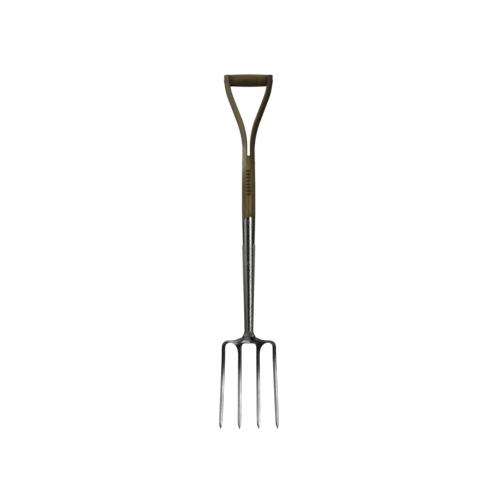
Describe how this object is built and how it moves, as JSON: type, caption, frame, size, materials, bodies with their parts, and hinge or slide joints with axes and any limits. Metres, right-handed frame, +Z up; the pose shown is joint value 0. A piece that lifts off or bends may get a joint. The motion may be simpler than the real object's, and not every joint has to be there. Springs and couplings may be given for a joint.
{
  "type": "digging fork",
  "caption": "Digging fork with curved steel tines, a strapped conical socket and a split ash shaft that opens into a Y with a turned cross grip.",
  "frame": {"origin": "below the middle of the fork at the level of the tine tips", "axes": "+Z up the shaft to the grip, +X across the head, the front that the tines curve to faces -Y"},
  "size_m": [0.1724, 0.044, 1.0106],
  "materials": {
    "tine_steel": "forged and polished stainless steel",
    "weld_steel": "dull blended weld bead",
    "socket_steel": "polished lengthwise",
    "rivet_steel": "dull ground",
    "ash": "olive-brown weathered ash, thin dull varnish",
    "grip_ash": "hand-darkened turned ash"
  },
  "bodies": {
    "root": {"tine_head": "tine_steel", "socket_weld": "weld_steel", "socket": "socket_steel", "strap_rivet_lower": "rivet_steel", "strap_rivet_upper": "rivet_steel", "ash_shaft": "ash", "cross_grip": "grip_ash", "grip_rod": "rivet_steel", "grip_washer_left": "rivet_steel", "grip_washer_right": "rivet_steel", "crotch_rivet": "rivet_steel", "crotch_burr_left": "rivet_steel", "crotch_burr_right": "rivet_steel"}
  },
  "joints": []
}
